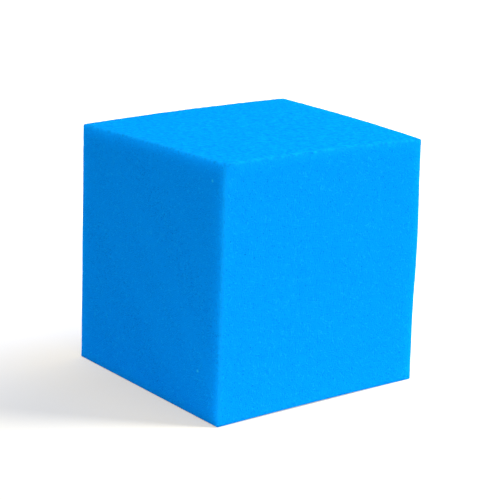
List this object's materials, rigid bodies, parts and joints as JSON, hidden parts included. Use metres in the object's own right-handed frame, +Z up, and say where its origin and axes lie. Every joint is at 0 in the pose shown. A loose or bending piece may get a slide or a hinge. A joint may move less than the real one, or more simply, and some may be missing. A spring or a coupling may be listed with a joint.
{
  "type": "foam block",
  "caption": "Foam pit cube: a block of soft open-cell polyurethane foam with flat sawn faces and softly rounded edges.",
  "frame": {"origin": "middle of the bounding box in plan, on the plane that the block rests on", "axes": "+Z up, out of the base; the front face looks along -Y and the left face along -X"},
  "size_m": [0.2062, 0.2016, 0.2044],
  "materials": {
    "foam": "open-cell polyurethane foam, sawn, dyed bright blue, fully matte"
  },
  "bodies": {
    "root": {"foam_block": "foam"}
  },
  "joints": []
}
